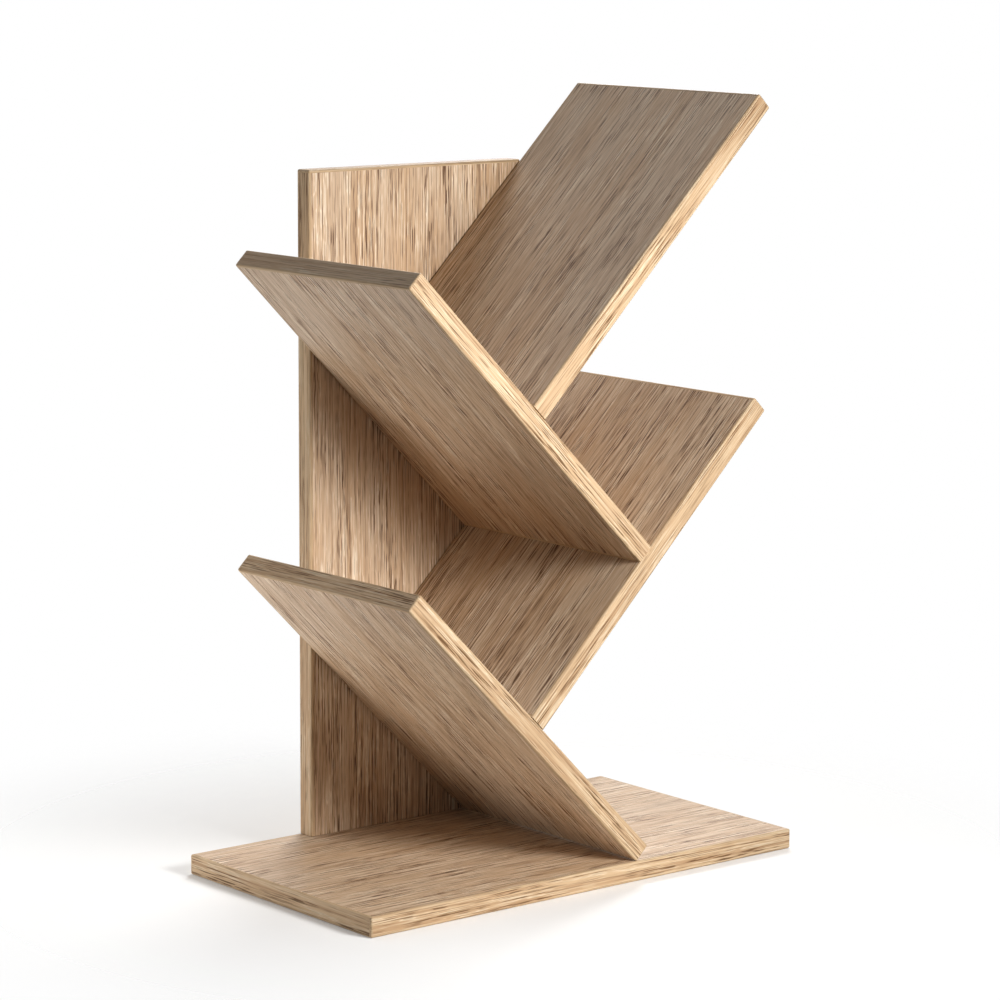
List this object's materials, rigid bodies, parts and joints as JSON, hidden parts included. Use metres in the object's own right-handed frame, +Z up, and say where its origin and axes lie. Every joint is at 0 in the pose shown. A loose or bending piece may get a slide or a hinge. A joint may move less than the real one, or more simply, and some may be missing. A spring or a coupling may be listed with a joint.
{
  "type": "desktop bookshelf",
  "caption": "Free-standing desktop bookshelf: slanted oak-decor shelves branch left and right, square to each other, in front of a rear upright on a flat base board.",
  "frame": {"origin": "on the surface it stands on, under the middle of the base board", "axes": "+X to the right along the front edge, +Y from the front to the back, +Z up"},
  "size_m": [0.4, 0.22, 0.5715],
  "materials": {
    "oak_face": "satin oak-decor melamine face with fine straight grain",
    "oak_edge": "satin oak-decor edge band, grain along the edge",
    "zinc_steel": "bright zinc plating",
    "beech": "raw turned beech"
  },
  "bodies": {
    "root": {"base_board": "oak_face", "base_board_front_band": "oak_edge", "base_board_back_band": "oak_edge", "base_board_left_band": "oak_edge", "base_board_right_band": "oak_edge", "upright_panel": "oak_face", "upright_panel_left_band": "oak_edge", "upright_panel_right_band": "oak_edge", "upright_panel_top_band": "oak_edge", "lower_left_shelf": "oak_face", "lower_left_shelf_front_band": "oak_edge", "lower_left_shelf_back_band": "oak_edge", "lower_left_shelf_outer_band": "oak_edge", "lower_left_shelf_inner_band": "oak_edge", "lower_right_shelf": "oak_face", "lower_right_shelf_front_band": "oak_edge", "lower_right_shelf_back_band": "oak_edge", "lower_right_shelf_outer_band": "oak_edge", "lower_right_shelf_inner_band": "oak_edge", "upper_left_shelf": "oak_face", "upper_left_shelf_front_band": "oak_edge", "upper_left_shelf_back_band": "oak_edge", "upper_left_shelf_outer_band": "oak_edge", "upper_left_shelf_inner_band": "oak_edge", "upper_right_shelf": "oak_face", "upper_right_shelf_front_band": "oak_edge", "upper_right_shelf_back_band": "oak_edge", "upper_right_shelf_outer_band": "oak_edge", "upper_right_shelf_inner_band": "oak_edge", "lower_left_shelf_screw_1": "zinc_steel", "lower_left_shelf_screw_2": "zinc_steel", "lower_right_shelf_screw_1": "zinc_steel", "lower_right_shelf_screw_2": "zinc_steel", "upper_left_shelf_screw_1": "zinc_steel", "upper_left_shelf_screw_2": "zinc_steel", "upper_right_shelf_screw_1": "zinc_steel", "upper_right_shelf_screw_2": "zinc_steel", "base_screw_left": "zinc_steel", "base_screw_right": "zinc_steel", "lower_right_shelf_dowel_front": "beech", "lower_right_shelf_dowel_back": "beech", "upper_left_shelf_dowel_front": "beech", "upper_left_shelf_dowel_back": "beech", "upper_right_shelf_dowel_front": "beech", "upper_right_shelf_dowel_back": "beech", "upright_dowel_left": "beech", "upright_dowel_right": "beech"}
  },
  "joints": []
}
